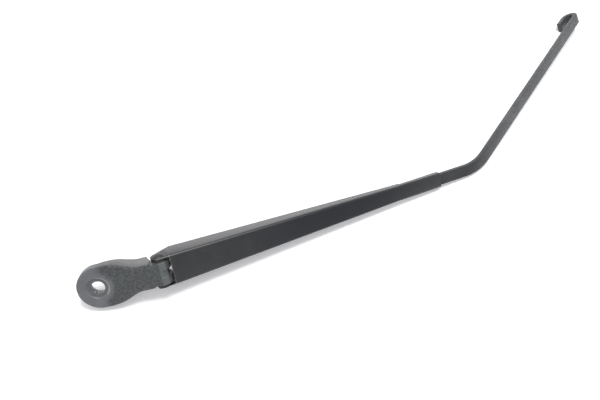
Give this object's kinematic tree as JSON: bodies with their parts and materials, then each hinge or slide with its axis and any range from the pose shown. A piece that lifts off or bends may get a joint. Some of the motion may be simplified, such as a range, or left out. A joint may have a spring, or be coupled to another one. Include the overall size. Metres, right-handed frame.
{
  "type": "wiper arm",
  "caption": "Car windscreen wiper arm: cast spindle head hinged to a tapered folded channel, with a crimped flat rod bent to a blade hook and a tension spring on a C-shaped link.",
  "frame": {"origin": "on the spindle's axis, in the head's flat top face", "axes": "+Z along the spindle and out of the head's top face, +X from the spindle towards the hinge and the arm, +Y towards the side that the rod bends to"},
  "size_m": [0.4652, 0.1042, 0.2178],
  "materials": {
    "cast_paint": "satin black paint over a cast surface",
    "nylon": "black nylon",
    "pin_steel": "plain steel, a little dull",
    "painted_pin": "black paint over steel",
    "channel_paint": "semi-gloss black paint over folded steel",
    "rod_paint": "satin black paint over steel bar",
    "spring_steel": "zinc plated spring wire, dulled",
    "link_steel": "zinc plated pressed steel, dulled"
  },
  "bodies": {
    "spindle_head": {"head": "cast_paint", "bush_left": "nylon", "bush_right": "nylon", "anchor_pin": "pin_steel"},
    "arm": {"channel": "channel_paint", "pivot_pin": "painted_pin", "rod": "rod_paint", "spring": "spring_steel"},
    "link": {"spring_link": "link_steel"}
  },
  "joints": [
    {"name": "arm_lift", "type": "hinge", "parent": "spindle_head", "child": "arm", "pos_m": [0.0392, 0, -0.0069], "axis": [0, -1, 0], "range_deg": [0, 80], "stiffness_Nm_per_rad": 0.1, "springref_deg": -57.3, "deforming": ["spring"]},
    {"name": "link_swing", "type": "hinge", "parent": "spindle_head", "child": "link", "pos_m": [0.03571, 0, -0.01227], "axis": [0, -1, 0], "range_deg": [0, 80]}
  ],
  "couplings": [
    {"joint": "link_swing", "follows": "arm_lift", "ratio": 0.9539}
  ]
}
